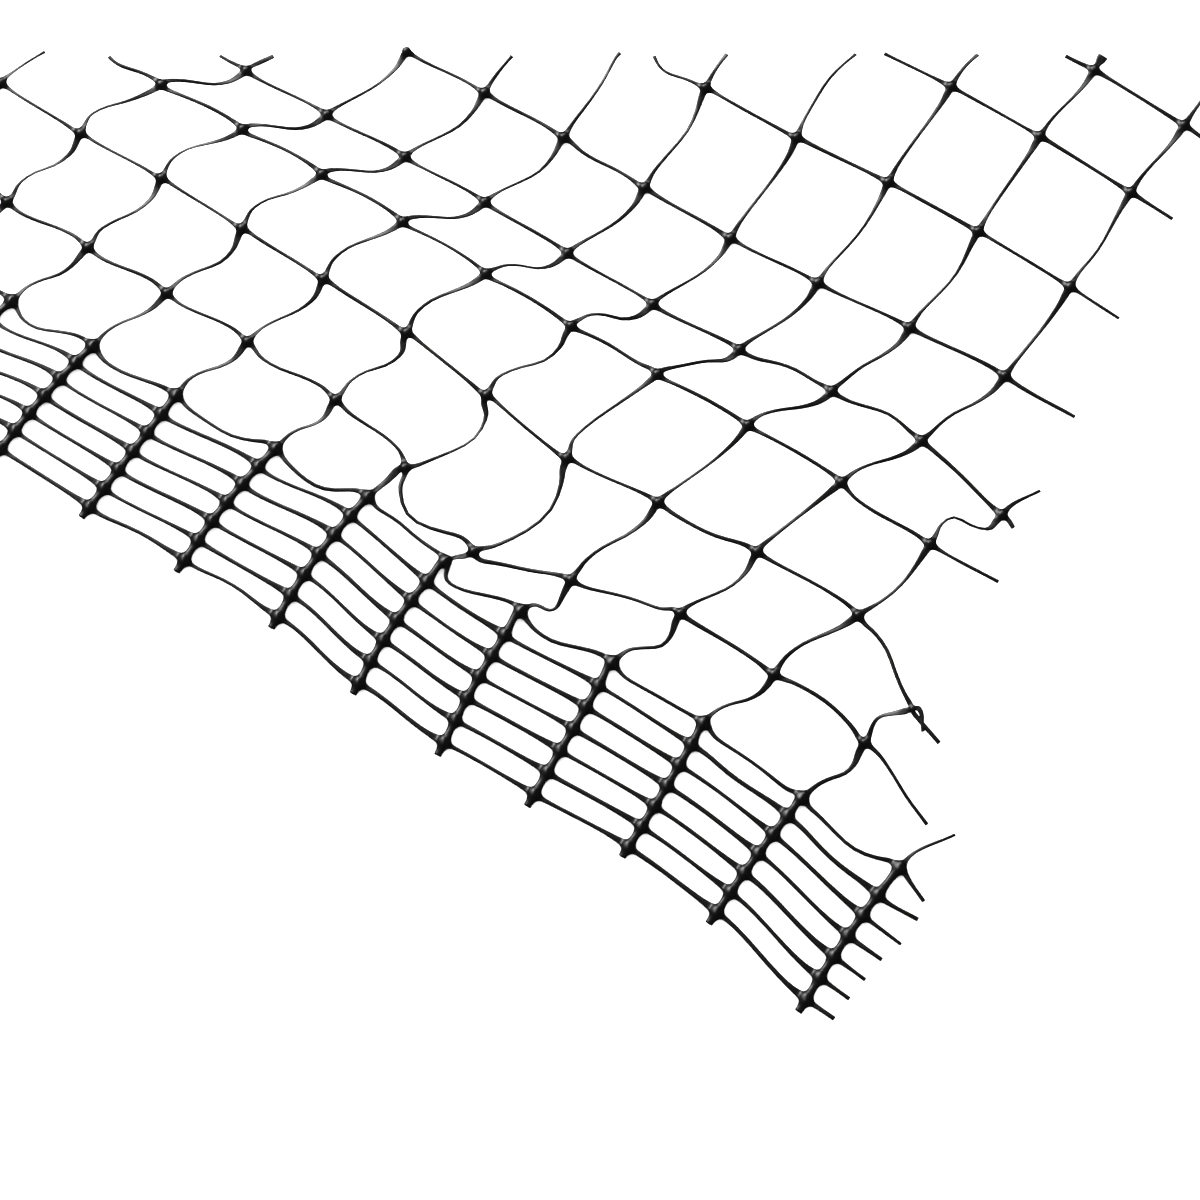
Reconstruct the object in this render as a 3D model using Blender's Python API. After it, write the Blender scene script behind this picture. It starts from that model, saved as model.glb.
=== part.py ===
"""Bird netting: a cut piece of black extruded plastic netting with its reinforced edge, lying loose.

+X runs along the reinforced edge and +Y across the piece, away from that edge. +Z is up. The origin is
under the middle of the piece, on the surface it lies on. Sizes are in millimetres and become metres when
the mesh is made.

A knot is named by (column, row). Row 0 is the top knot of the thick cross bar at the end of each column,
rows -1 to -6 are the knots down the bar to its foot, and rows 1 and up are the knots of the open mesh.
Lengthwise strands join knots of one row, cross strands join knots of one column.
"""

from collections import namedtuple
from math import cos, exp, radians, sin

import bmesh
import bpy
from mathutils import Matrix, Vector
from mathutils.geometry import interpolate_bezier

MM = 0.001

# Drawn sizes of the plastic
LENGTHWISE_STRAND = 19.5  # from knot to knot when pulled straight
CROSS_STRAND = 22.0
KNOT_SIDE = 2.4
KNOT_THICK = 1.6
NECK_WIDE = 1.8  # the bar between two of its knots
STRAND_WIDE = 1.0
STRAND_THICK = 1.0
WEB_WIDE = 1.3  # where the strand has just left the knot
WEB_LONG = 1.8
LOWEST_ROW = -6

# Where the piece was cut
TOP_CUT_ANGLE = 34.7  # the slanting top cut, from the X axis
TOP_CUT_POINT = (-33.4, 121.5)
BLADE_LEAN = 0.325  # the blades lean, and cut this much further down for each millimetre up
LEFT_CUT_SHARE = 0.5  # the left cut goes through the middle of the strands
FOOT_STUB = 1.3  # what is left of each bar past its last knot

# How the strands curve
ARM_KEEPS = 0.65  # how far the two arms of one line stay in line with each other at a knot
SLACK_GAIN = 1.5  # how much a strand bows for each part of slack
MOST_BOW = 0.8
BAR_SQUARE = 0.8  # how squarely strands leave a bar
TOP_KNOT_SQUARE = 0.5

# Middle of the piece, which becomes the origin
MIDDLE = (-21.31, 89.27)

Column = namedtuple("Column", "along across rows spring")
COLUMNS = {
    -2: Column(-122.2, 36.7, 2, 1.0),
    -1: Column(-103.2, 36.0, 4, 1.0),
    0: Column(-86.0, 37.2, 5, 1.0),
    1: Column(-69.6, 38.5, 5, 1.0),
    2: Column(-52.7, 39.4, 5, 1.0),
    3: Column(-34.9, 39.7, 6, 1.0),
    4: Column(-16.9, 40.2, 6, 1.0),
    5: Column(0.6, 41.6, 7, 0.8),
    6: Column(19.0, 42.4, 8, 0.6),
    7: Column(38.2, 42.3, 8, 0.5),
    8: Column(57.4, 41.4, 4, 0.5),
    9: Column(77.0, 40.2, 2, 0.5),
}

# Each row's knots lie slid and shifted from the column's own place. A ridge runs along row 3 and a valley
# along rows 4 and 5. The turns are of the knots' arms, in degrees.
Row = namedtuple("Row", "slide across height below above along_turn arch")
ROWS = {
    1: Row(0.0, 0.0, 1.8, 14, 10, -14, 2),
    2: Row(4.8, 16.5, 4.0, 36, 36, -5, 0),
    3: Row(10.4, 32.8, 6.0, 7, -12, 0, 8),
    4: Row(18.8, 45.8, 1.5, 18, 4, -3, 1),
    5: Row(23.0, 64.5, 0.9, 20, 11, -6, 1),
    6: Row(22.9, 87.3, 2.8, 15, 10, -2, 0),
    7: Row(22.0, 109.2, 3.5, 10, 8, -1, 0),
    8: Row(22.6, 127.0, 1.2, 10, 5, -1, 0),
    9: Row(22.6, 147.0, 0.9, 5, 5, 0, 0),
}
TOP_KNOT_TURNS = (8, -28)  # cross arm and right-hand arm of the bars' top knots

# Places where the mesh is gathered up or let out
Tug = namedtuple("Tug", "column row column_reach row_reach along across up")
TUGS = (
    Tug(5.2, 1.0, 1.15, 1.1, 1.5, -11.0, 0.0),
    Tug(7.2, 4.5, 1.3, 1.1, -1.0, 4.3, 0.0),
    Tug(-0.5, 2.0, 1.5, 1.0, -2.3, 1.8, 0.0),
    Tug(3.2, 6.2, 0.9, 0.9, -2.0, -1.4, 0.0),
    Tug(9.0, 2.0, 0.5, 0.5, -1.4, -8.0, 1.0),
    Tug(8.0, 2.0, 0.7, 0.7, 1.7, 0.0, 0.0),
    Tug(8.2, 4.2, 0.6, 0.6, -2.05, -2.1, 0.0),
    Tug(7.0, 4.0, 0.5, 0.5, -1.1, 0.0, 0.0),
    Tug(6.0, 4.0, 0.5, 0.5, -0.4, 0.6, 0.0),
    Tug(5.0, 1.0, 0.5, 0.5, 0.6, -0.7, 0.0),
    Tug(5.0, 2.0, 0.5, 0.5, 0.5, -0.5, 0.0),
    Tug(4.0, 1.0, 0.5, 0.5, 0.2, -0.5, 0.0),
    Tug(4.0, 2.0, 0.5, 0.5, 0.2, -0.6, 0.0),
    Tug(6.0, 1.0, 0.5, 0.5, -0.5, 0.0, 0.0),
    Tug(8.0, 3.0, 0.5, 0.5, -0.7, 0.2, 0.0),
    Tug(3.0, 1.0, 0.6, 0.6, 1.4, 0.0, 0.0),
    Tug(6.6, 2.1, 0.9, 0.7, 0.0, -1.3, 0.0),
)

# The thick cross bars. bow is how far the middle lies off the straight line, neck the first neck's share.
Bar = namedtuple("Bar", "top_along top_across foot_along foot_across bow neck")
BARS = {
    -2: Bar(-128.4, 21.0, -134.0, -4.5, -0.3, 0.175),
    -1: Bar(-109.3, 21.3, -114.8, -3.8, -0.3, 0.175),
    0: Bar(-92.0, 22.1, -95.5, -3.0, -0.4, 0.175),
    1: Bar(-75.0, 23.5, -76.5, -1.0, -0.5, 0.17),
    2: Bar(-57.3, 24.4, -57.2, -0.8, 0.0, 0.17),
    3: Bar(-37.0, 26.3, -37.8, 0.8, -0.7, 0.17),
    4: Bar(-18.5, 28.2, -18.4, 1.7, -0.9, 0.17),
    5: Bar(-0.6, 26.2, 0.0, 0.0, -1.0, 0.18),
    6: Bar(15.3, 26.3, 18.1, -0.3, -0.5, 0.19),
    7: Bar(33.5, 27.6, 35.9, 1.0, 0.0, 0.175),
    8: Bar(52.4, 27.6, 54.2, 2.5, 0.2, 0.17),
    9: Bar(73.5, 26.2, 72.7, 1.7, -0.3, 0.16),
    10: Bar(93.7, 25.4, 93.2, -2.1, -0.5, 0.215),
}

# Knots wrung round by the gather, with the extra turn of each arm in degrees
Twist = namedtuple("Twist", "below above left right")
NO_TWIST = Twist(0, 0, 0, 0)
TWISTS = {
    (4, 0): Twist(0, -15, 15, 0),
    (5, 0): Twist(0, -35, 0, -45),
    (6, 0): Twist(0, -75, 0, 0),
    (7, 0): Twist(0, -45, 0, 0),
    (8, 0): Twist(0, -25, 0, 18),
    (9, 0): Twist(0, -15, 0, -6),
    (2, 1): Twist(12, 0, 0, -10),
    (3, 1): Twist(15, 0, 0, 0),
    (4, 1): Twist(-5, -45, -12, -63),
    (5, 1): Twist(-20, -44, 0, -2),
    (6, 1): Twist(20, 0, 8, -5),
    (7, 1): Twist(30, -12, -8, 0),
    (8, 1): Twist(15, 20, 0, 25),
    (9, 1): Twist(20, 35, -20, 0),
    (4, 2): Twist(25, -25, 0, 0),
    (5, 2): Twist(32, -12, 0, 0),
    (6, 2): Twist(0, -25, 0, -12),
    (7, 2): Twist(12, -18, 0, 0),
    (8, 2): Twist(-20, -32, 0, 0),
    (9, 2): Twist(-40, -70, -12, -22),
    (4, 3): Twist(48, 0, 0, 0),
    (6, 3): Twist(15, 14, 0, 0),
    (7, 3): Twist(0, 16, 0, -28),
    (8, 3): Twist(15, 37, 0, 0),
    (8, 4): Twist(8, 15, 2, 0),
    (4, 6): Twist(0, 8, 0, 0),
    (3, 6): Twist(0, 0, 10, 0),
    (6, 8): Twist(0, 0, 8, 0),
    (-1, 4): Twist(0, -8, 14, 0),
    (-1, 3): Twist(0, 0, 12, 0),
    (-2, 2): Twist(0, -35, 0, 0),
}

# Strand ends left by the scissors on the right, with the heading of each end from the X axis
Stub = namedtuple("Stub", "column row arm long heading")
STUBS = (
    Stub(7, 8, "right", 7.0, -6),
    Stub(7, 7, "right", 8.9, -1),
    Stub(7, 6, "right", 10.4, -1),
    Stub(7, 5, "right", 14.3, 2),
    Stub(8, 4, "right", 3.1, -17),
    Stub(8, 4, "above", 8.2, 68),
    Stub(8, 3, "right", 13.4, 4),
    Stub(9, 2, "right", 7.5, -19),
    Stub(9, 1, "right", 17.6, -20),
    Stub(10, 0, "above", 11.2, 66),
    Stub(10, 0, "right", 7.0, -21),
    Stub(10, -1, "right", 7.9, 2),
    Stub(10, -2, "right", 8.1, -4),
    Stub(10, -3, "right", 7.0, -2),
    Stub(10, -4, "right", 6.6, -3),
    Stub(10, -5, "right", 6.1, -2),
    Stub(10, -6, "right", 5.7, -1),
)

# The larger bumps that rolling pressed into single strands. Each is at its share of the way and pushes the
# strand to the left of its way, or to the right where the size is negative.
Bump = namedtuple("Bump", "column row arm share size")
BUMPS = (
    Bump(2, 0, "right", 0.68, -1.7),
    Bump(3, 0, "right", 0.60, -1.7),
    Bump(4, 0, "right", 0.35, 1.3),
    Bump(9, 0, "right", 0.68, -1.5),
    Bump(4, 1, "right", 0.48, -3.2),
    Bump(6, 1, "right", 0.80, -1.4),
    Bump(-1, 1, "above", 0.25, 1.5),
    Bump(6, 1, "above", 0.30, 1.2),
    Bump(8, 2, "right", 0.33, 1.2),
    Bump(4, 2, "above", 0.22, 1.0),
    Bump(4, 2, "above", 0.70, -1.3),
    Bump(4, 3, "above", 0.25, 1.4),
    Bump(5, 3, "above", 0.58, 1.3),
    Bump(8, 3, "above", 0.40, 2.4),
    Bump(8, 3, "above", 0.74, -1.0),
    Bump(6, 4, "right", 0.60, 1.2),
    Bump(2, 5, "above", 0.80, 1.3),
    Bump(4, 6, "above", 0.65, 1.3),
)
BUMP_NARROWNESS = 8

UP = Vector((0, 0, 1))
FIRST_COLUMN, LAST_COLUMN = min(BARS), max(BARS)
Arms = namedtuple("Arms", "left right below above")
Frame = namedtuple("Frame", "centre along across up")


def turned(direction, degrees):
    """The direction turned about the vertical."""
    return Matrix.Rotation(radians(degrees), 3, "Z") @ direction


def held_within(column, table):
    """The table's column that is nearest to this one."""
    return min(max(column, min(table)), max(table))


def mesh_place(column, row):
    """The column's place plus the row's slide, with every tug fading as a bell curve from its own knot."""
    nearest = held_within(column, COLUMNS)
    here, step = COLUMNS[nearest], ROWS[row]
    along = here.along + step.slide + (column - nearest) * LENGTHWISE_STRAND
    place = Vector((along, here.across + step.across, step.height))
    for tug in TUGS:
        away = ((column - tug.column) / tug.column_reach) ** 2 + ((row - tug.row) / tug.row_reach) ** 2
        place += exp(-away) * Vector((tug.along, tug.across, tug.up))
    return place


def bar_place(column, row):
    """A knot on a bar, on a line from top to foot that bows like a parabola. Bars lie flat."""
    nearest = held_within(column, BARS)
    bar = BARS[nearest]
    share = bar.neck + (1 - bar.neck) * (-row - 1) / (-LOWEST_ROW - 1) if row else 0.0
    along = bar.top_along + (bar.foot_along - bar.top_along) * share + 4 * bar.bow * share * (1 - share)
    across = bar.top_across + (bar.foot_across - bar.top_across) * share
    return Vector((along + (column - nearest) * LENGTHWISE_STRAND, across, KNOT_THICK / 2))


def place_of(column, row):
    return mesh_place(column, row) if row > 0 else bar_place(column, row)


def is_kept(column, row):
    """Whether the knot is on the piece, rather than past one of its cuts."""
    if row <= 0:
        return FIRST_COLUMN <= column <= LAST_COLUMN
    return column in COLUMNS and row <= COLUMNS[column].rows


def chords(column, row):
    """The straight directions to the four neighbours, each pointing right or up the piece."""
    here = place_of(column, row)
    left = (here - place_of(column - 1, row)).normalized()
    right = (place_of(column + 1, row) - here).normalized()
    if row == LOWEST_ROW:
        above = (place_of(column, row + 1) - here).normalized()
        return Arms(left, right, above, above)
    below = (here - place_of(column, row - 1)).normalized()
    above = (place_of(column, row + 1) - here).normalized() if row != 0 and row + 1 <= max(ROWS) else below
    return Arms(left, right, below, above)


def arms_of(column, row):
    """The directions in which the four strands leave a knot. A knot is stiff, so it turns with its row and
    the strands bend instead."""
    chord = chords(column, row)
    along = (chord.left + chord.right).normalized()
    across = (chord.below + chord.above).normalized()
    square = Vector((across.y, -across.x, 0))
    if row < 0:
        leaves = square.lerp(along, 1 - BAR_SQUARE).normalized()
        return Arms(leaves, leaves, across, across)
    twist = TWISTS.get((column, row), NO_TWIST)
    if row == 0:
        leaves = square.lerp(along, 1 - TOP_KNOT_SQUARE).normalized()
        cross_turn, along_turn = TOP_KNOT_TURNS
        above = turned(across, cross_turn + twist.above)
        return Arms(turned(leaves, twist.left), turned(leaves, along_turn + twist.right), across, above)
    spring = COLUMNS[held_within(column, COLUMNS)].spring
    step = ROWS[row]
    left_turn = spring * (step.along_turn - step.arch) + twist.left
    right_turn = spring * (step.along_turn + step.arch) + twist.right
    return Arms(
        turned(chord.left.lerp(along, ARM_KEEPS), left_turn).normalized(),
        turned(chord.right.lerp(along, ARM_KEEPS), right_turn).normalized(),
        turned(chord.below.lerp(across, ARM_KEEPS), spring * step.below + twist.below).normalized(),
        turned(chord.above.lerp(across, ARM_KEEPS), spring * step.above + twist.above).normalized(),
    )


def frame_of(column, row):
    """The knot's own square axes, halfway between its arms."""
    arms = arms_of(column, row)
    along = (arms.left + arms.right).normalized()
    across = (arms.below + arms.above).normalized()
    between = (along + across).normalized()
    apart = (along - across).normalized()
    square_along = (between + apart).normalized()
    square_across = (between - apart).normalized()
    return Frame(place_of(column, row), square_along, square_across, square_along.cross(square_across))


def flattened(point):
    """Nothing lies below the surface: what would is pressed flat on it."""
    return Vector((point.x, point.y, max(point.z, 0.0)))


class Netting:
    """Builds the mesh: knots are square blocks, and strands are sleeves from block to block."""

    def __init__(self):
        self.mesh = bmesh.new()
        self.corners = {}
        self.used = set()

    def vertex(self, point):
        flat = flattened(point)
        return self.mesh.verts.new(((flat.x - MIDDLE[0]) * MM, (flat.y - MIDDLE[1]) * MM, flat.z * MM))

    def knot(self, column, row):
        """Eight corners with the top and bottom faces. The four sides are where the strands start."""
        frame = frame_of(column, row)
        found = {}
        for along in (-1, 1):
            for across in (-1, 1):
                for up in (-1, 1):
                    offset = KNOT_SIDE / 2 * (along * frame.along + across * frame.across)
                    offset += up * KNOT_THICK / 2 * frame.up
                    found[along, across, up] = self.vertex(frame.centre + offset)
        for up in (-1, 1):
            face = [found[-up, -1, up], found[up, -1, up], found[up, 1, up], found[-up, 1, up]]
            self.mesh.faces.new(face)
        self.corners[column, row] = found

    def side(self, column, row, arm):
        """The four corners of one side, in ring order: right low, left low, left high, right high."""
        self.used.add((column, row, arm))
        found = self.corners[column, row]
        if arm in ("left", "right"):
            end = 1 if arm == "right" else -1
            return [found[end, -1, -1], found[end, 1, -1], found[end, 1, 1], found[end, -1, 1]]
        end = 1 if arm == "above" else -1
        return [found[1, end, -1], found[-1, end, -1], found[-1, end, 1], found[1, end, 1]]

    def ring(self, centre, heading, wide, thick):
        """A rectangular section across the strand, kept level."""
        left = UP.cross(heading).normalized() * wide / 2
        rise = heading.cross(left).normalized() * thick / 2
        return [self.vertex(centre + a * left + b * rise) for a, b in ((-1, -1), (1, -1), (1, 1), (-1, 1))]

    def sleeve(self, first, second):
        for k in range(4):
            after = (k + 1) % 4
            self.mesh.faces.new((first[k], first[after], second[after], second[k]))

    def chain(self, rings, open_start, open_end):
        """Joins rings into one tube and caps the ends that no knot closes."""
        for first, second in zip(rings, rings[1:]):
            self.sleeve(first, second)
        if open_start:
            self.mesh.faces.new(rings[0][::-1])
        if open_end:
            self.mesh.faces.new(rings[-1])

    def close_bare_sides(self):
        for column, row in self.corners:
            for arm in Arms._fields:
                if (column, row, arm) in self.used:
                    continue
                side = self.side(column, row, arm)
                self.mesh.faces.new(side if arm in ("right", "above") else side[::-1])


def port(column, row, arm):
    """The middle of one side of a knot and the direction of its strand, pointing right or up the piece."""
    frame = frame_of(column, row)
    outward = {"left": -frame.along, "right": frame.along, "below": -frame.across, "above": frame.across}[arm]
    return frame.centre + KNOT_SIDE / 2 * outward, getattr(arms_of(column, row), arm)


def bent(start, leaves, end, arrives, drawn, points=49):
    """A smooth curve between two ports that bows the more, the more slack the strand has."""
    chord = (end - start).length
    slack = max((drawn - KNOT_SIDE) / chord - 1, 0.0)
    pull = chord * (1 + min(SLACK_GAIN * slack, MOST_BOW)) / 3
    return interpolate_bezier(start, start + pull * leaves, end - pull * arrives, end, points)


def bumped(path, column, row, arm):
    """The path with its bumps. A bump is the share to one power times the rest to another, so that it is
    nought at both ends and highest at its own share."""
    moved = [point.copy() for point in path]
    for bump in BUMPS:
        if (bump.column, bump.row, bump.arm) != (column, row, arm):
            continue
        for index in range(1, len(path) - 1):
            share = index / (len(path) - 1)
            rise = (share / bump.share) ** (BUMP_NARROWNESS * bump.share)
            fall = ((1 - share) / (1 - bump.share)) ** (BUMP_NARROWNESS * (1 - bump.share))
            leftward = UP.cross(path[index + 1] - path[index - 1]).normalized()
            moved[index] += bump.size * rise * fall * leftward
    return moved


def sections(path, shares):
    """Places and headings at these shares of the path's length."""
    runs = [(b - a).length for a, b in zip(path, path[1:])]
    found = []
    for share in shares:
        left = share * sum(runs)
        index = 0
        while index < len(runs) - 1 and left > runs[index]:
            left -= runs[index]
            index += 1
        heading = (path[min(index + 2, len(path) - 1)] - path[max(index - 1, 0)]).normalized()
        found.append((path[index].lerp(path[index + 1], left / runs[index]), heading))
    return found


def past_top_cut(point):
    angle = radians(TOP_CUT_ANGLE)
    across = cos(angle) * (point.y - TOP_CUT_POINT[1]) - sin(angle) * (point.x - TOP_CUT_POINT[0])
    return across + BLADE_LEAN * point.z


def lay_strand(net, path, start, end, middles):
    """A tube along the path. start and end are knots' sides as (column, row, arm), or None at a cut."""
    long = sum((b - a).length for a, b in zip(path, path[1:]))
    near = min(WEB_LONG / long, 0.3)
    first = near if start else 0.0
    last = 1 - near if end else 1.0
    shares = [first + (last - first) * k / (middles + 1) for k in range(middles + 2)]
    rings = [net.side(*start)] if start else []
    for share, (place, heading) in zip(shares, sections(path, shares)):
        beside_knot = (start and share == first) or (end and share == last)
        rings.append(net.ring(place, heading, WEB_WIDE if beside_knot else STRAND_WIDE, STRAND_THICK))
    if end:
        rings.append(net.side(*end))
    net.chain(rings, start is None, end is None)


def join_knots(net, first, second, arms, drawn, middles):
    """The strand between two knots, or what the cuts leave of it."""
    start, leaves = port(*first, arms[0])
    end, arrives = port(*second, arms[1])
    path = bumped(bent(start, leaves, end, arrives, drawn), *first, arms[0])
    keeps_first, keeps_second = is_kept(*first), is_kept(*second)
    if keeps_first and keeps_second:
        lay_strand(net, path, (*first, arms[0]), (*second, arms[1]), middles)
    elif keeps_second and first[0] < FIRST_COLUMN:
        lay_strand(net, path[int(len(path) * LEFT_CUT_SHARE) :], None, (*second, arms[1]), 1)
    elif keeps_second:
        kept = [point for point in path if past_top_cut(point) < 0]
        if len(kept) > 2:
            lay_strand(net, kept, None, (*second, arms[1]), 1)
    else:
        kept = [point for point in path if past_top_cut(point) < 0]
        if len(kept) > 2:
            lay_strand(net, kept, (*first, arms[0]), None, 1)


def lay_stub(net, stub):
    """A strand end: it leaves along the knot's arm and ends on its own heading."""
    start, leaves = port(stub.column, stub.row, stub.arm)
    centre = place_of(stub.column, stub.row)
    tip = centre + stub.long * turned(Vector((1, 0, 0)), stub.heading)
    arrives = (tip - start).normalized()
    path = bent(start, leaves, tip, arrives, 0.0)
    lay_strand(net, path, (stub.column, stub.row, stub.arm), None, 1)


def lay_neck(net, column, row):
    """The thick bar between two of its knots."""
    low, high = port(column, row, "above"), port(column, row + 1, "below")
    middle = net.ring((low[0] + high[0]) / 2, (high[0] - low[0]).normalized(), NECK_WIDE, KNOT_THICK)
    net.chain([net.side(column, row, "above"), middle, net.side(column, row + 1, "below")], False, False)


def lay_foot(net, column):
    """The short end of the bar past its last knot."""
    start, heading = port(column, LOWEST_ROW, "below")
    tip = net.ring(start - FOOT_STUB * heading, heading, NECK_WIDE, KNOT_THICK)
    net.chain([tip, net.side(column, LOWEST_ROW, "below")], True, False)


def build_netting():
    net = Netting()
    knots = [
        (column, row)
        for column in range(FIRST_COLUMN, LAST_COLUMN + 1)
        for row in range(LOWEST_ROW, max(ROWS))
        if is_kept(column, row)
    ]
    for knot in knots:
        net.knot(*knot)
    for column, row in knots:
        middles = 2 if row > 0 else 1 if row == 0 else 0
        right_stub = any(stub[:3] == (column, row, "right") for stub in STUBS)
        above_stub = any(stub[:3] == (column, row, "above") for stub in STUBS)
        if not right_stub and is_kept(column + 1, row):
            join_knots(net, (column, row), (column + 1, row), ("right", "left"), LENGTHWISE_STRAND, middles)
        if not is_kept(column - 1, row):
            join_knots(net, (column - 1, row), (column, row), ("right", "left"), LENGTHWISE_STRAND, middles)
        if row < 0:
            lay_neck(net, column, row)
        elif not above_stub and column <= 9 and (column, row) != (9, 2):
            join_knots(net, (column, row), (column, row + 1), ("above", "below"), CROSS_STRAND, 2)
        if row == LOWEST_ROW:
            lay_foot(net, column)
    for stub in STUBS:
        lay_stub(net, stub)
    net.close_bare_sides()
    data = bpy.data.meshes.new("netting")
    net.mesh.to_mesh(data)
    net.mesh.free()
    return data


def drawn_plastic():
    """Black polypropylene with a soft gloss."""
    material = bpy.data.materials.new("drawn_black_plastic")
    material.use_nodes = True
    surface = material.node_tree.nodes["Principled BSDF"]
    surface.inputs["Base Color"].default_value = (0.012, 0.012, 0.013, 1.0)
    surface.inputs["Roughness"].default_value = 0.38
    surface.inputs["Metallic"].default_value = 0.0
    return material


def main():
    for old in list(bpy.data.objects):
        bpy.data.objects.remove(old)
    netting = bpy.data.objects.new("netting", build_netting())
    netting.data.materials.append(drawn_plastic())
    bpy.context.scene.collection.objects.link(netting)


main()
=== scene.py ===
# %% [markdown]
# Bird netting is a plastic sheet with holes, squeezed out of a ring-shaped die and then pulled both ways. Pulling
# draws the plastic between the holes out into thin strands, while the crossings stay thick and become knots. Along
# its edge the holes are set close, so the crossings there run together into thick cross bars.
#
# This lesson rebuilds one cut piece of it. First the solid model made for collision is loaded. It stays as it is,
# and gives the size and the place of everything.

import bpy
import numpy as np
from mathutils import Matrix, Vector


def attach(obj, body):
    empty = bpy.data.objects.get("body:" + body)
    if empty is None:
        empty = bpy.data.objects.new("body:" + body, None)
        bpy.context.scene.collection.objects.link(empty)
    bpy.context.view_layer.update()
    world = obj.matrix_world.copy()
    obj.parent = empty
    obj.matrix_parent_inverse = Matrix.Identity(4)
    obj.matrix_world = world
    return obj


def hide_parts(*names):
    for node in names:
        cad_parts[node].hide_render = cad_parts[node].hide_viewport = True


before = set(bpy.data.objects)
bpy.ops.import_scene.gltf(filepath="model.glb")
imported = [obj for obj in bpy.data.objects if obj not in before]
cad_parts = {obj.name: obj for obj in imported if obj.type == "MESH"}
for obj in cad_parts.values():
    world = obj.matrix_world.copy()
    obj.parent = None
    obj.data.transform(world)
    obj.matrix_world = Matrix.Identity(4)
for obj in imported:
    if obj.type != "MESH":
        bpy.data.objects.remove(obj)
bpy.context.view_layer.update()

# %% [markdown]
# The knots come first, because everything else hangs between them. They could be placed by hand, or by a cloth
# simulation of a flat grid. Here tables place them, with one row of numbers to each line of knots, because the
# plastic is springy and lies in a shape that it chose itself. Most places in COLUMNS, ROWS and BARS weren't
# chosen by hand. Another program worked them out beforehand from one view of a real piece, and fitted the columns
# and rows by least squares, so they are data and not a design. A knot is named by its column and its row.
# Row 0 is the top knot of a bar, rows -1 to -6 run down the bar, and rows 1 and up are the open mesh.

# %% The tables, in millimetres and degrees
MIDDLE = np.array([-21.31, 89.27, 0.0])  # becomes the origin
LENGTHWISE_STRAND, CROSS_STRAND = 19.5, 22.0  # from knot to knot when pulled straight
KNOT_SIDE = 2.4
BAR_KNOT_HEIGHT = 0.8

COLUMNS = np.array(
    [
        (-2, -122.2, 36.7, 2, 1.0),
        (-1, -103.2, 36.0, 4, 1.0),
        (0, -86.0, 37.2, 5, 1.0),
        (1, -69.6, 38.5, 5, 1.0),
        (2, -52.7, 39.4, 5, 1.0),
        (3, -34.9, 39.7, 6, 1.0),
        (4, -16.9, 40.2, 6, 1.0),
        (5, 0.6, 41.6, 7, 0.8),
        (6, 19.0, 42.4, 8, 0.6),
        (7, 38.2, 42.3, 8, 0.5),
        (8, 57.4, 41.4, 4, 0.5),
        (9, 77.0, 40.2, 2, 0.5),
    ],
    dtype=[("column", int), ("along", float), ("across", float), ("rows", int), ("spring", float)],
)
ROWS = np.array(
    [
        (1, 0.0, 0.0, 1.8, 14, 10, -14, 2),
        (2, 4.8, 16.5, 4.0, 36, 36, -5, 0),
        (3, 10.4, 32.8, 6.0, 7, -12, 0, 8),
        (4, 18.8, 45.8, 1.5, 18, 4, -3, 1),
        (5, 23.0, 64.5, 0.9, 20, 11, -6, 1),
        (6, 22.9, 87.3, 2.8, 15, 10, -2, 0),
        (7, 22.0, 109.2, 3.5, 10, 8, -1, 0),
        (8, 22.6, 127.0, 1.2, 10, 5, -1, 0),
        (9, 22.6, 147.0, 0.9, 5, 5, 0, 0),
    ],
    dtype=[
        ("row", int), ("slide", float), ("across", float), ("height", float),
        ("below", float), ("above", float), ("along_turn", float), ("arch", float),
    ],
)  # fmt: skip
BARS = np.array(
    [
        (-2, -128.4, 21.0, -134.0, -4.5, -0.3, 0.175),
        (-1, -109.3, 21.3, -114.8, -3.8, -0.3, 0.175),
        (0, -92.0, 22.1, -95.5, -3.0, -0.4, 0.175),
        (1, -75.0, 23.5, -76.5, -1.0, -0.5, 0.17),
        (2, -57.3, 24.4, -57.2, -0.8, 0.0, 0.17),
        (3, -37.0, 26.3, -37.8, 0.8, -0.7, 0.17),
        (4, -18.5, 28.2, -18.4, 1.7, -0.9, 0.17),
        (5, -0.6, 26.2, 0.0, 0.0, -1.0, 0.18),
        (6, 15.3, 26.3, 18.1, -0.3, -0.5, 0.19),
        (7, 33.5, 27.6, 35.9, 1.0, 0.0, 0.175),
        (8, 52.4, 27.6, 54.2, 2.5, 0.2, 0.17),
        (9, 73.5, 26.2, 72.7, 1.7, -0.3, 0.16),
        (10, 93.7, 25.4, 93.2, -2.1, -0.5, 0.215),
    ],
    dtype=[
        ("column", int), ("top_along", float), ("top_across", float), ("foot_along", float),
        ("foot_across", float), ("bow", float), ("neck", float),
    ],
)  # fmt: skip
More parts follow.
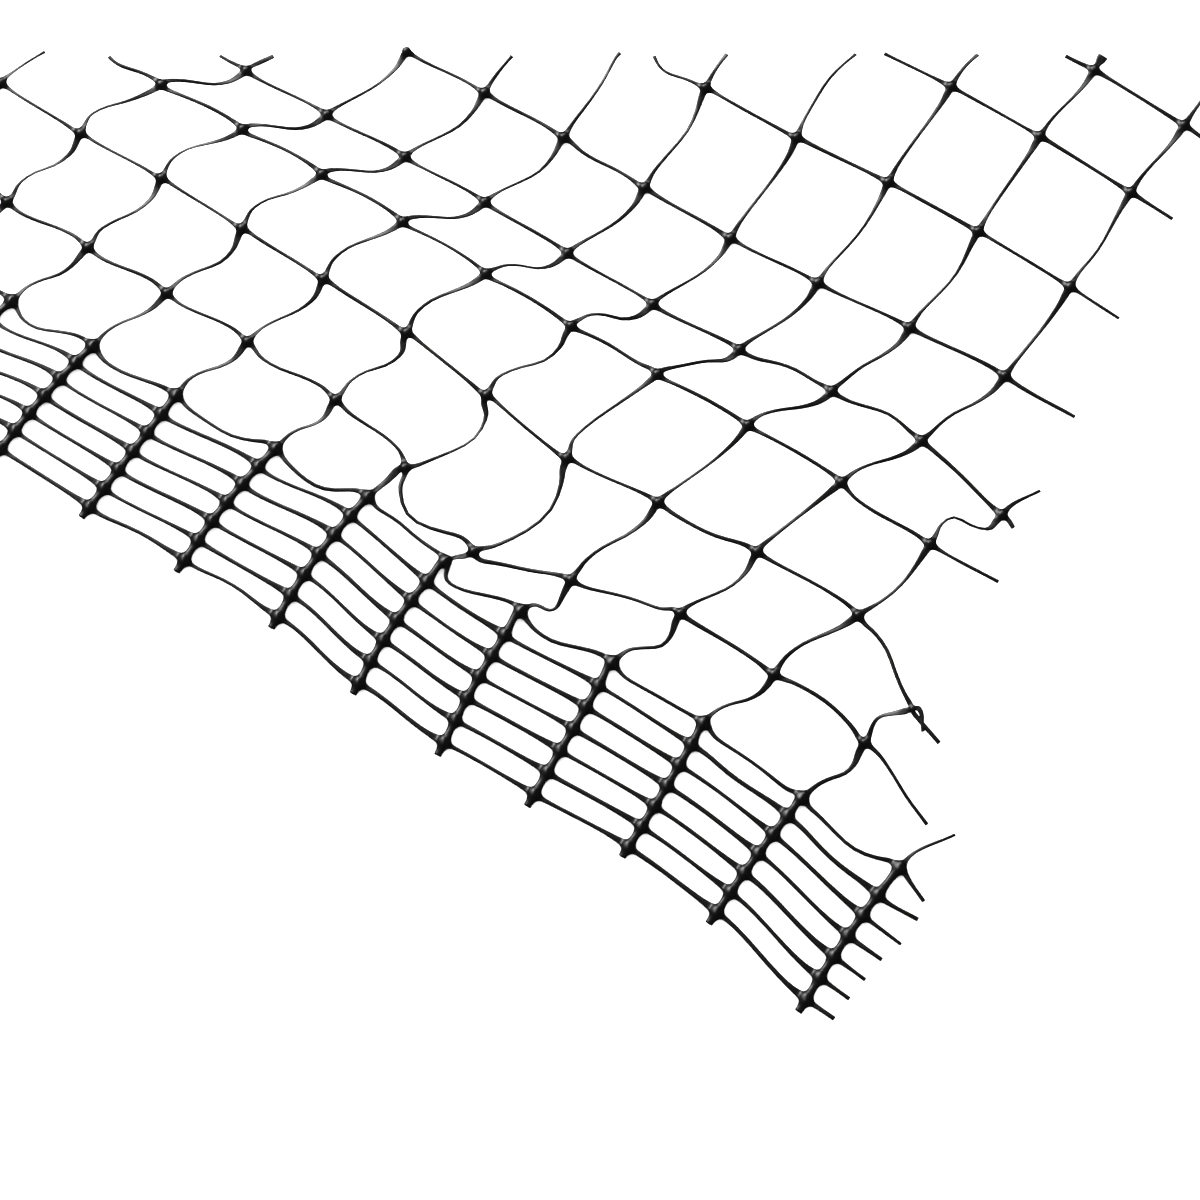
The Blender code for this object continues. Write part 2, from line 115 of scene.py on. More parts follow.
TUGS = np.array(
    [
        (5.2, 1.0, 1.15, 1.1, 1.5, -11.0, 0.0),
        (7.2, 4.5, 1.3, 1.1, -1.0, 4.3, 0.0),
        (-0.5, 2.0, 1.5, 1.0, -2.3, 1.8, 0.0),
        (3.2, 6.2, 0.9, 0.9, -2.0, -1.4, 0.0),
        (9.0, 2.0, 0.5, 0.5, -1.4, -8.0, 1.0),
        (8.0, 2.0, 0.7, 0.7, 1.7, 0.0, 0.0),
        (8.2, 4.2, 0.6, 0.6, -2.05, -2.1, 0.0),
        (7.0, 4.0, 0.5, 0.5, -1.1, 0.0, 0.0),
        (6.0, 4.0, 0.5, 0.5, -0.4, 0.6, 0.0),
        (5.0, 1.0, 0.5, 0.5, 0.6, -0.7, 0.0),
        (5.0, 2.0, 0.5, 0.5, 0.5, -0.5, 0.0),
        (4.0, 1.0, 0.5, 0.5, 0.2, -0.5, 0.0),
        (4.0, 2.0, 0.5, 0.5, 0.2, -0.6, 0.0),
        (6.0, 1.0, 0.5, 0.5, -0.5, 0.0, 0.0),
        (8.0, 3.0, 0.5, 0.5, -0.7, 0.2, 0.0),
        (3.0, 1.0, 0.6, 0.6, 1.4, 0.0, 0.0),
        (6.6, 2.1, 0.9, 0.7, 0.0, -1.3, 0.0),
    ]
)  # column, row, reach in columns, reach in rows, then the pull along, across and up

COLUMN = np.arange(-3, 12)[:, None]  # one further than the piece on the left, for the strands cut there
ROW = np.arange(-6, 10)[None, :]


# %% Where each knot lies
def past_end(numbers, table, key):
    """The table row to read for each number, and how many steps the number lies past the table's end."""
    nearest = np.clip(numbers, table[key].min(), table[key].max())
    return nearest - table[key].min(), numbers - nearest


def mesh_knots(column, row):
    """A knot of the mesh is its column's place plus its row's slide, plus every tug, which fades as a bell curve."""
    at, beyond = past_end(column, COLUMNS, "column")
    here, step = COLUMNS[at], ROWS[np.clip(row, 1, 9) - 1]
    along = here["along"] + step["slide"] + beyond * LENGTHWISE_STRAND
    place = np.stack(np.broadcast_arrays(along, here["across"] + step["across"], step["height"]), -1)
    gap = (column[..., None] - TUGS[:, 0]) / TUGS[:, 2], (row[..., None] - TUGS[:, 1]) / TUGS[:, 3]
    return place + np.exp(-(gap[0] ** 2) - gap[1] ** 2) @ TUGS[:, 4:]


def bar_knots(column, row):
    """A bar's knots lie on a line from top to foot that bows like a parabola, flat on the surface."""
    at, beyond = past_end(column, BARS, "column")
    bar = BARS[at]
    share = np.where(row == 0, 0.0, bar["neck"] + (1 - bar["neck"]) * (-row - 1) / 5)
    along = bar["top_along"] + (bar["foot_along"] - bar["top_along"]) * share + 4 * bar["bow"] * share * (1 - share)
    across = bar["top_across"] + (bar["foot_across"] - bar["top_across"]) * share
    along = along + beyond * LENGTHWISE_STRAND
    return np.stack([along, across, np.full_like(across, BAR_KNOT_HEIGHT)], -1)


knots = np.where((ROW > 0)[..., None], mesh_knots(COLUMN, ROW), bar_knots(COLUMN, ROW)) - MIDDLE
last_row = np.zeros(COLUMN.shape, int)
last_row[1:13, 0] = COLUMNS["rows"]
kept = (ROW <= last_row) & (COLUMN >= -2) & (COLUMN <= 10)
print("knots of the mesh:", int(kept[:, 7:].sum()), " knots of the bars:", int(kept[:, :7].sum()))

# %% [markdown]
# A knot is stiff, and the strands leave it in four fixed directions. When the mesh is gathered, a knot turns as a
# whole and its strands bend into an S. So each knot gets four arms: the straight directions to its neighbours, made
# more alike and then turned by the row's angle. The few knots that the gather wrings round have extra turns.

# %% The four arms and the square axes of each knot
TWISTS = np.array(
    [
        (4, 0, 0, -15, 15, 0),
        (5, 0, 0, -35, 0, -45),
        (6, 0, 0, -75, 0, 0),
        (7, 0, 0, -45, 0, 0),
        (8, 0, 0, -25, 0, 18),
        (9, 0, 0, -15, 0, -6),
        (2, 1, 12, 0, 0, -10),
        (3, 1, 15, 0, 0, 0),
        (4, 1, -5, -45, -12, -63),
        (5, 1, -20, -44, 0, -2),
        (6, 1, 20, 0, 8, -5),
        (7, 1, 30, -12, -8, 0),
        (8, 1, 15, 20, 0, 25),
        (9, 1, 20, 35, -20, 0),
        (4, 2, 25, -25, 0, 0),
        (5, 2, 32, -12, 0, 0),
        (6, 2, 0, -25, 0, -12),
        (7, 2, 12, -18, 0, 0),
        (8, 2, -20, -32, 0, 0),
        (9, 2, -40, -70, -12, -22),
        (4, 3, 48, 0, 0, 0),
        (6, 3, 15, 14, 0, 0),
        (7, 3, 0, 16, 0, -28),
        (8, 3, 15, 37, 0, 0),
        (8, 4, 8, 15, 2, 0),
        (4, 6, 0, 8, 0, 0),
        (3, 6, 0, 0, 10, 0),
        (6, 8, 0, 0, 8, 0),
        (-1, 4, 0, -8, 14, 0),
        (-1, 3, 0, 0, 12, 0),
        (-2, 2, 0, -35, 0, 0),
    ]
)  # column, row, then the turn of the arm below, above, left and right
ARM_KEEPS = 0.65  # how far the two arms of one line stay in line with each other
BAR_SQUARE, TOP_KNOT_SQUARE = 0.8, 0.5  # how squarely strands leave a bar, and its top knot
TOP_KNOT_TURN = {"below": 0, "above": 8, "left": 0, "right": -28}
BAR_SLANT = 0.1  # a strand joins a bar a little lower on its right side than on its left
TORN_KNOT_SIZE = 0.6  # a share of a whole knot


def unit(v):
    return v / np.linalg.norm(v, axis=-1, keepdims=True)


def turned(v, degrees):
    """Turned about the vertical: x is x cos a less y sin a, y is x sin a plus y cos a."""
    a = np.radians(degrees)
    x, y = v[..., 0] * np.cos(a) - v[..., 1] * np.sin(a), v[..., 0] * np.sin(a) + v[..., 1] * np.cos(a)
    return np.stack([x, y, v[..., 2]], -1)


to_right, upward = unit(np.diff(knots, axis=0)), unit(np.diff(knots, axis=1))
chord = {
    "left": np.concatenate([to_right[:1], to_right]),
    "right": np.concatenate([to_right, to_right[-1:]]),
    "below": np.concatenate([upward[:, :1], upward], 1),
    "above": np.concatenate([upward, upward[:, -1:]], 1),
}
chord["above"][:, 6] = chord["below"][:, 6]
along, across = unit(chord["left"] + chord["right"]), unit(chord["below"] + chord["above"])
square = np.stack([across[..., 1], -across[..., 0], 0 * across[..., 0]], -1)
squareness = np.where(ROW < 0, BAR_SQUARE, TOP_KNOT_SQUARE)[..., None]
off_bar = unit(square * squareness + along * (1 - squareness))

step = ROWS[np.clip(ROW, 1, 9) - 1]
spring = COLUMNS["spring"][past_end(COLUMN, COLUMNS, "column")[0]]
row_turn = {
    "below": spring * step["below"],
    "above": spring * step["above"],
    "left": spring * (step["along_turn"] - step["arch"]),
    "right": spring * (step["along_turn"] + step["arch"]),
}
twist = np.zeros(knots.shape[:2] + (4,))
twist[TWISTS[:, 0] + 3, TWISTS[:, 1] + 6] = TWISTS[:, 2:]
arm = {}
for number, side in enumerate(("below", "above", "left", "right")):
    line = across if side in ("below", "above") else along
    in_mesh = unit(chord[side] * (1 - ARM_KEEPS) + line * ARM_KEEPS)
    on_bar = across if side in ("below", "above") else off_bar
    turn = np.where(ROW > 0, row_turn[side], np.where(ROW == 0, TOP_KNOT_TURN[side], 0)) + twist[..., number]
    arm[side] = unit(turned(np.where((ROW > 0)[..., None], in_mesh, on_bar), turn))

along, across = unit(arm["left"] + arm["right"]), unit(arm["below"] + arm["above"])
between, apart = unit(along + across), unit(along - across)
knot_along, knot_across = unit(between + apart), unit(between - apart)
knot_up = np.cross(knot_along, knot_across)
slant = np.where(ROW < 0, BAR_SLANT, 0.0)[..., None] * knot_across
knot_size = np.ones(knots.shape[:2] + (1,))
knot_size[12, 8] = TORN_KNOT_SIZE
side_middle = {
    "left": -knot_along + slant, "right": knot_along - slant, "below": -knot_across, "above": knot_across,
}  # fmt: skip
print("arms turned by up to", int(np.abs(turn).max()), "degrees on the right-hand side")

# %% [markdown]
# Now the strands. Each is one smooth curve from knot to knot, and the more slack it has, the further it follows its
# arms before it turns. A curve object with a bevel could draw it, but then each strand would be a separate tube. In
# the real net the plastic flows from one strand into the next. So the strands are sleeves of eight-sided rings that
# are joined to the knots' own corners, in one mesh with no seams.

# %% The list of strands, and where the scissors cut them
STUBS = np.array(
    [
        (7, 8, 3, 7.0, -6),
        (7, 7, 3, 8.9, -1),
        (7, 6, 3, 10.4, -1),
        (7, 5, 3, 14.3, 2),
        (8, 4, 3, 3.1, -17),
        (8, 4, 1, 8.2, 68),
        (8, 3, 3, 13.4, 4),
        (9, 2, 3, 7.5, -19),
        (9, 2, 1, 4.4, -32),
        (9, 1, 3, 17.6, -20),
        (10, 0, 1, 11.2, 66),
        (10, 0, 3, 7.0, -21),
        (10, -1, 3, 7.9, 2),
        (10, -2, 3, 8.1, -4),
        (10, -3, 3, 7.0, -2),
        (10, -4, 3, 6.6, -3),
        (10, -5, 3, 6.1, -2),
        (10, -6, 3, 5.7, -1),
    ]
)  # column, row, side (1 above, 3 right), length and heading
TOP_CUT = 34.7, np.array([-33.4, 121.5]) - MIDDLE[:2]  # angle from the X axis, and a point of the cut
BLADE_LEAN = 0.325  # the blades lean, and cut 0.325 mm further down for each 1 mm up
LEFT_CUT_SHARE = 0.5  # the left cut goes through the middle of the strands
SLACK_GAIN, MOST_BOW = 1.5, 0.8  # how much a strand bows for each part of slack, and at most
SAMPLES = 97  # close points along a curve
SIDES = ("below", "above", "left", "right")


def between_knots(first, side, second, other):
    """Strands from one side of the first knots to another side of the second. Each entry is a grid position."""
    return {"first": first, "side": side, "second": second, "other": other}


grid = np.stack(np.broadcast_arrays(COLUMN, ROW), -1) + (3, 6)
stub_at = np.zeros(knots.shape[:2] + (4,), bool)
stub_at[STUBS[:, 0].astype(int) + 3, STUBS[:, 1].astype(int) + 6, STUBS[:, 2].astype(int)] = True
has_right = kept[1:] & ~(kept[:-1] & stub_at[:-1, :, 3])
has_above = kept[:, :-1] & (ROW[:, :-1] >= 0) & ~stub_at[:, :-1, 1] & (COLUMN <= 9)
of_bars = has_right & (ROW < 0)
between_bars = between_knots(grid[:-1][of_bars], "right", grid[1:][of_bars], "left")
lengthwise = between_knots(grid[:-1][has_right & ~of_bars], "right", grid[1:][has_right & ~of_bars], "left")
crosswise = between_knots(grid[:, :-1][has_above], "above", grid[:, 1:][has_above], "below")


def bezier(a, b, c, d, t):
    """Four control points a, b, c, d weighed by (1-t)^3, 3t(1-t)^2, 3t^2(1-t) and t^3."""
    a, b, c, d = (point[:, None] for point in (a, b, c, d))
    t = t[..., None]
    return a * (1 - t) ** 3 + 3 * b * t * (1 - t) ** 2 + 3 * c * t**2 * (1 - t) + d * t**3


def strand_curve(start, leaves, end, arrives, drawn):
    """The control points of a strand. Its handles are a third of the chord, and longer by half as much again as
    the share of slack."""
    gap = np.linalg.norm(end - start, axis=-1, keepdims=True)
    slack = np.maximum((drawn - KNOT_SIDE) / gap - 1, 0)
    pull = gap * (1 + np.minimum(SLACK_GAIN * slack, MOST_BOW)) / 3
    return start, start + pull * leaves, end - pull * arrives, end


def at(where, values):
    return values[where[:, 0], where[:, 1]]


def port_reach(where, side):
    """From a knot's centre to the middle of one of its sides."""
    return KNOT_SIDE / 2 * at(where, knot_size) * at(where, side_middle[side])


def full_strands(strands, drawn):
    """The curves, with the share of each that the cuts leave as first and last t."""
    first, side, second, other = strands.values()
    start = at(first, knots) + port_reach(first, side)
    end = at(second, knots) + port_reach(second, other)
    curve = strand_curve(start, at(first, arm[side]), end, at(second, arm[other]), drawn)
    t = np.linspace(0, 1, SAMPLES)[None]
    points = bezier(*curve, t)
    angle, cut_at = np.radians(TOP_CUT[0]), TOP_CUT[1]
    past = np.cos(angle) * (points[..., 1] - cut_at[1]) - np.sin(angle) * (points[..., 0] - cut_at[0])
    past = past + BLADE_LEAN * points[..., 2]
    whole = at(first, kept) & at(second, kept)
    inside = whole[:, None] | (past < 0)
    beyond_left = first[:, 0] == 0
    inside[beyond_left] = t > LEFT_CUT_SHARE
    low = np.where(inside, t, 2).min(1)
    high = np.where(inside, t, -1).max(1)
    usable = high - low > 0.03
    low[at(first, kept)], high[at(second, kept)] = 0, 1
    return {
        "from": first[usable],
        "first": np.where(at(first, kept)[:, None], first, -1)[usable],
        "side": side,
        "second": np.where(at(second, kept)[:, None], second, -1)[usable],
        "other": other,
        "curve": tuple(points[usable] for points in curve),
        "low": low[usable],
        "high": high[usable],
    }


def stub_strands(rows, side):
    """Strand ends. Each leaves along its arm and ends at its own length and heading from the knot."""
    first = rows[:, :2].astype(int) + (3, 6)
    start = at(first, knots) + port_reach(first, side)
    heading = turned(np.tile([1.0, 0.0, 0.0], (len(rows), 1)), rows[:, 4])
    tip = at(first, knots) + rows[:, 3:4] * heading
    curve = strand_curve(start, at(first, arm[side]), tip, unit(tip - start), 0.0)
    none = np.full_like(first, -1)
    ones = np.ones(len(rows))
    return {
        "from": first,
        "first": first,
        "side": side,
        "second": none,
        "other": "left",
        "curve": curve,
        "low": 0 * ones,
        "high": ones,
    }


FAMILIES = {
    "lengthwise": full_strands(lengthwise, LENGTHWISE_STRAND),
    "between bars": full_strands(between_bars, LENGTHWISE_STRAND),
    "crosswise": full_strands(crosswise, CROSS_STRAND),
    "ends to the right": stub_strands(STUBS[STUBS[:, 2] == 3], "right"),
    "ends upward": stub_strands(STUBS[STUBS[:, 2] == 1], "above"),
}
for name, family in FAMILIES.items():
    print(name, len(family["low"]))

# %% [markdown]
# The net was rolled up tight, and it remembers. Many strands have a bump or a kink where they were pressed, and
# these are what makes it look like plastic rather than thread. A table says where along a strand each bump is, and
# how far it pushes the strand to the left of its way, or to the right where it is negative.

# %% Bumps in single strands
SWAYS = np.array(
    [
        (0, 0, 3, 0.35, -0.9),
        (2, 0, 3, 0.68, -1.7),
        (3, 0, 3, 0.60, -1.7),
        (4, 0, 3, 0.35, 1.3),
        (6, 0, 3, 0.40, -0.7),
        (7, 0, 3, 0.45, 0.6),
        (8, 0, 3, 0.15, -0.7),
        (8, 0, 3, 0.85, -0.6),
        (9, 0, 3, 0.25, 0.8),
        (9, 0, 3, 0.68, -1.5),
        (8, -1, 3, 0.45, -0.8),
        (9, -1, 3, 0.50, -0.7),
        (3, -6, 3, 0.50, 0.9),
        (2, -6, 3, 0.50, 0.6),
        (0, 0, 1, 0.65, -0.7),
        (6, 0, 1, 0.15, 0.8),
        (6, 0, 1, 0.45, -0.8),
        (7, 0, 1, 0.18, 0.8),
        (7, 0, 1, 0.62, -0.5),
        (9, 0, 1, 0.70, -0.5),
        (4, 1, 3, 0.48, -3.2),
        (5, 1, 3, 0.30, 1.0),
        (6, 1, 3, 0.80, -1.4),
        (2, 1, 3, 0.30, -0.7),
        (-1, 1, 1, 0.25, 1.5),
        (0, 1, 1, 0.20, 0.9),
        (1, 1, 1, 0.65, -0.8),
        (3, 1, 1, 0.28, 0.9),
        (3, 1, 1, 0.80, -0.8),
        (4, 1, 1, 0.28, 0.7),
        (4, 1, 1, 0.72, -0.9),
        (5, 1, 1, 0.68, -0.9),
        (5, 1, 1, 0.86, 0.9),
        (6, 1, 1, 0.30, 1.2),
        (8, 2, 3, 0.33, 1.2),
        (-2, 3, 3, 0.50, -1.5),
        (2, 6, 3, 0.50, -1.5),
        (5, 2, 1, 0.18, 0.9),
        (6, 2, 3, 0.60, -0.7),
        (-1, 2, 1, 0.55, -0.7),
        (1, 2, 1, 0.65, -0.7),
        (4, 2, 1, 0.22, 1.0),
        (4, 2, 1, 0.62, -0.9),
        (4, 2, 1, 0.86, 0.6),
        (4, 3, 3, 0.75, -0.6),
        (3, 3, 1, 0.25, 0.9),
        (4, 3, 1, 0.25, 1.4),
        (5, 3, 1, 0.58, 1.3),
        (8, 3, 1, 0.40, 2.4),
        (8, 3, 1, 0.74, -1.0),
        (5, 4, 3, 0.50, 1.0),
        (6, 4, 3, 0.60, 1.2),
        (7, 4, 3, 0.50, 0.2),
        (1, 4, 1, 0.60, -0.5),
        (2, 4, 1, 0.60, -0.7),
        (6, 4, 1, 0.40, 0.8),
        (7, 4, 1, 0.35, 1.1),
        (2, 5, 3, 0.30, -0.6),
        (2, 5, 1, 0.80, 1.3),
        (3, 5, 1, 0.60, -1.0),
        (5, 5, 1, 0.50, -0.7),
        (6, 5, 1, 0.55, -1.0),
        (4, 6, 1, 0.65, 1.3),
        (7, 6, 1, 0.40, -0.9),
        (9, 1, 3, 0.60, -0.5),
    ]
)  # column, row, side (1 above, 3 right), share of the way, and size in millimetres
BUMP_NARROWNESS = 8  # a higher number makes every bump shorter


def bumps(family, t, points):
    """The curves with their bumps. A bump is t to one power times 1 - t to another, so it is nought at both ends
    of the strand and highest at its share of the way."""
    heading = unit(np.gradient(points, axis=1))
    leftward = np.cross([0.0, 0.0, 1.0], heading)
    for column, row, side, share, size in SWAYS:
        here = (family["from"] == (column + 3, row + 6)).all(1) & (SIDES[int(side)] == family["side"])
        rise = (t[here] / share) ** (BUMP_NARROWNESS * share)
        fall = ((1 - t[here]) / (1 - share)) ** (BUMP_NARROWNESS * (1 - share))
        points[here] += (size * rise * fall)[..., None] * leftward[here]
    return points


# %% [markdown]
# Drawn plastic is thickest where it was drawn least. So a strand is a thin web where it leaves the knot, about
# twice as wide as the strand and half as thick, and it narrows over two or three millimetres. The strands along
# the net were drawn less than those across it, and are a little heavier. A profile carried along the curve says
# how wide and thick each ring is.

# %% Rings along the strands
RING = 8
CORNERS = np.array([(1, -1), (0, -1), (-1, -1), (-1, 0), (-1, 1), (0, 1), (1, 1), (1, 0)], float)
OUTLINE = CORNERS * np.where((CORNERS != 0).all(1, keepdims=True), 0.80, 1.06)  # rounded
FULLER = 0.017  # how much wider the strands are with every column, as the right was pulled less hard
LESS_DRAWN = 0.4  # how much wider a strand is that was hardly drawn
NEAR = np.array([0.35, 0.95, 1.8, 3.0])  # distances from the knot's side
BAR_NEAR = np.array([0.14, 0.95, 2.7])  # the first rings sit closer to a bar
# Half width and half thickness in the middle, then half width and reach of the web at the start and at the end.
# The web under a knot is the widest and longest.
SECTIONS = {
    "lengthwise": (0.36, 0.26, 0.48, 1.5, 0.52, 1.7),
    "between bars": (0.38, 0.26, 0.44, 1.6, 0.66, 2.0),
    "crosswise": (0.31, 0.20, 0.52, 1.9, 0.70, 3.2),
    "ends to the right": (0.34, 0.25, 0.46, 1.5, 0.36, 0.4),
    "ends upward": (0.29, 0.19, 0.50, 1.9, 0.32, 0.4),
}


def resampled(points, distance):
    """Points and headings at these distances along each curve, by straight lines between close samples."""
    runs = np.linalg.norm(np.diff(points, axis=1), axis=-1)
    total = np.concatenate([np.zeros((len(runs), 1)), np.cumsum(runs, 1)], 1)
    heading = unit(np.gradient(points, axis=1))
    below = np.clip((total[:, None, :] <= distance[..., None]).sum(-1) - 1, 0, points.shape[1] - 2)
    run = np.take_along_axis(total, below + 1, 1) - np.take_along_axis(total, below, 1)
    share = ((distance - np.take_along_axis(total, below, 1)) / np.maximum(run, 1e-9))[..., None]
    pick = lambda values, index: np.take_along_axis(values, index[..., None], 1)
    place = pick(points, below) * (1 - share) + pick(points, below + 1) * share
    return place, unit(pick(heading, below) * (1 - share) + pick(heading, below + 1) * share)


def rings_of(name, family):
    """Rings of eight points: the centre, plus the outline times half width to the left and half thickness up."""
    t = family["low"][:, None] + (family["high"] - family["low"])[:, None] * np.linspace(0, 1, SAMPLES)
    points = bumps(family, t, bezier(*family["curve"], t))
    total = np.linalg.norm(np.diff(points, axis=1), axis=-1).sum(1)[:, None]
    tied_start, tied_end = family["first"][:, :1] >= 0, family["second"][:, :1] >= 0
    on_bar = name == "between bars"
    near = (BAR_NEAR if on_bar else NEAR) * np.minimum(1, total / 9)
    tip = np.array([0.0, 0.12, 0.9, 2.2])[: near.shape[1]] * np.minimum(1, total / 6)
    start = np.where(tied_start, near, tip)
    end = total - np.where(tied_end, near, tip)[:, ::-1]
    middle = start[:, -1:] + (end[:, :1] - start[:, -1:]) * np.array([1, 2]) / 3
    distance = np.concatenate([start, middle, end], 1)
    place, heading = resampled(points, distance)
    wide, thick, web_start, start_reach, web_end, end_reach = SECTIONS[name]
    number = np.arange(len(total))[:, None]
    heavier = 0.965 + FULLER * (family["from"][:, :1] - 3)
    heavier = heavier + 0.10 * np.sin(2.4 * number) + 0.06 * np.sin(0.9 * distance + 1.7 * number)
    to_end = total - distance
    from_start = np.where(tied_start, np.exp(-((distance / start_reach) ** 1.3)), 0.35 * np.exp(-distance / 0.5))
    from_end = np.where(tied_end, np.exp(-((to_end / end_reach) ** 1.3)), 0.35 * np.exp(-to_end / 0.5))
    wide = wide * (1 + LESS_DRAWN * np.maximum(CROSS_STRAND / total - 2.5, 0)) if name == "crosswise" else wide
    half_wide = heavier * wide + (web_start - wide) * from_start + (web_end - wide) * from_end
    half_thick = heavier * thick * (1 - 0.1 * from_start - 0.1 * from_end)
    groove = np.clip(from_start * tied_start + from_end * tied_end, 0, 1)
    roll = np.radians(np.where(on_bar, 6, 22)) * np.sin(0.35 * distance + 2.1 * number) * (1 - from_start - from_end)
    left = unit(np.cross([0.0, 0.0, 1.0], heading))
    rise = np.cross(heading, left)
    level, upright = np.cos(roll)[..., None], np.sin(roll)[..., None]
    left, rise = left * level + rise * upright, rise * level - left * upright
    ring = place[:, :, None] - OUTLINE[:, :1] * (half_wide[..., None] * left)[:, :, None]
    high = OUTLINE[:, 1] * (1 - 0.75 * groove[..., None] * (CORNERS[:, 0] == 0)) * half_thick[..., None]
    ring = ring + high[..., None] * rise[:, :, None]
    drawn = np.clip(1 - 0.8 * from_start - 0.8 * from_end, 0, 1)
    return ring, distance, drawn


print("rings per strand:", 2 * len(NEAR) + 2, " between bars:", 2 * len(BAR_NEAR) + 2)

# %% [markdown]
# The knots are cushions. Each has a top, a bottom and four sides, and each side is a ring of eight points, so that
# a strand's sleeve can start there. A smaller ring inside the top is raised, because the die leaves a round button
# where the two strands cross. On the bars it is drawn out into a slanting ridge, so that a bar looks a little like
# rope.

# %% Knots as cushions with a raised button
RIM = np.array([(1, -1), (1, 0), (1, 1), (0, 1), (-1, 1), (-1, 0), (-1, -1), (0, -1)], float)


def cushion(corner, corner_high, edge_high, crest, crest_high, lean):
    """Thirty points: top corners and edge middles, the same below, the middles of the upright edges, the ring of
    the crest, its centre, and the centre underneath. Corners are pulled in to `corner`, edges reach 1.2 mm. The
    crest is an ellipse of half axes `crest` that is turned by `lean` degrees."""
    is_corner = (RIM != 0).all(1)
    out = np.where(is_corner[:, None], corner, KNOT_SIDE / 2) * RIM
    high = np.where(is_corner, corner_high, edge_high)[:, None]
    top, bottom = np.hstack([out, high]), np.hstack([out, -high])
    upright = np.hstack([1.06 * out[is_corner], np.zeros((4, 1))])
    ellipse = np.where(is_corner, 0.8, 1.0)[:, None] * RIM * crest
    ring = turned(np.hstack([ellipse, np.full((8, 1), crest_high)]), lean)
    return np.vstack([top, bottom, upright, ring, [[0, 0, crest_high * 1.12]], [[0, 0, -edge_high * 1.1]]])


MESH_KNOT = cushion((0.66, 0.66), 0.34, 0.38, (0.50, 0.50), 0.82, 0.0)
BAR_KNOT = cushion((0.80, 0.94), 0.56, 0.64, (0.34, 0.86), 0.96, 22.0)
# The places of those points: top rim 0-7, bottom rim 8-15, uprights 16-19, button 20-27, crown 28, floor 29
KNOT_POINTS = 30
TOP, BOTTOM, BUTTON, CROWN, FLOOR = np.arange(8), 8 + np.arange(8), 20 + np.arange(8), 28, 29
PORT = {
    "right": [8, 9, 10, 17, 2, 1, 0, 16],
    "left": [14, 13, 12, 18, 4, 5, 6, 19],
    "above": [10, 11, 12, 18, 4, 3, 2, 17],
    "below": [8, 15, 14, 19, 6, 7, 0, 16],
}
KNOT_FACES = [(TOP[j], TOP[(j + 1) % 8], BUTTON[(j + 1) % 8], BUTTON[j]) for j in range(8)]
KNOT_FACES += [(BUTTON[j - 1], BUTTON[j], BUTTON[(j + 1) % 8], CROWN) for j in (0, 2, 4, 6)]
KNOT_FACES += [(BOTTOM[j], BOTTOM[j - 1], FLOOR, BOTTOM[(j + 1) % 8]) for j in (0, 2, 4, 6)]
KNOT_FACES = np.array(KNOT_FACES)

BUTTON_WOBBLE = 0.06  # no two buttons came out of the die alike

kept_at = np.argwhere(kept)
knot_number = np.full(kept.shape, -1)
knot_number[kept] = np.arange(len(kept_at))
is_bar = (kept_at[:, 1] <= 6)[:, None, None]
local = np.where(is_bar, BAR_KNOT, MESH_KNOT)
knot_index, point_index = np.arange(len(kept_at))[:, None, None], np.arange(KNOT_POINTS)[:, None]
wobble = BUTTON_WOBBLE * np.sin(knot_index * 1.9 + point_index * 2.3 + np.arange(3) * 4.1)
local = local + wobble * (point_index >= BUTTON[0])
local[:, :, 1] -= (is_bar * BAR_SLANT)[:, :, 0] * local[:, :, 0]
local = local * at(kept_at, knot_size)[:, None]
axes = np.stack([at(kept_at, values) for values in (knot_along, knot_across, knot_up)], 1)
knot_points = at(kept_at, knots)[:, None] + local @ axes
print("knot points:", knot_points.shape)

# %% [markdown]
# Now everything is put into one mesh: the knots' points, then each family's rings. The faces are written as
# numbers counted from those points. A sleeve's face takes two neighbours on one ring and the same two on the next.

# %% Join knots and strands into one mesh
points, faces, caps = [knot_points.reshape(-1, 3)], [], []
face_along, face_around = [], []
thinness = [np.zeros(knot_points.shape[0] * KNOT_POINTS)]
faces.append((KNOT_FACES[None] + KNOT_POINTS * np.arange(len(kept_at))[:, None, None]).reshape(-1, 4))
face_along.append(np.zeros((len(faces[0]), 4)))
face_around.append(np.zeros((len(faces[0]), 4)))
used = np.zeros((len(kept_at), 4), bool)
count = len(points[0])
AROUND = np.arange(RING)


def sleeve_faces(rings):
    """Faces between rings given as point numbers: (k, next k) on one ring, then (next k, k) on the following."""
    after = np.roll(rings, -1, axis=-1)
    return np.stack([rings[:, :-1], after[:, :-1], after[:, 1:], rings[:, 1:]], -1).reshape(-1, 4)


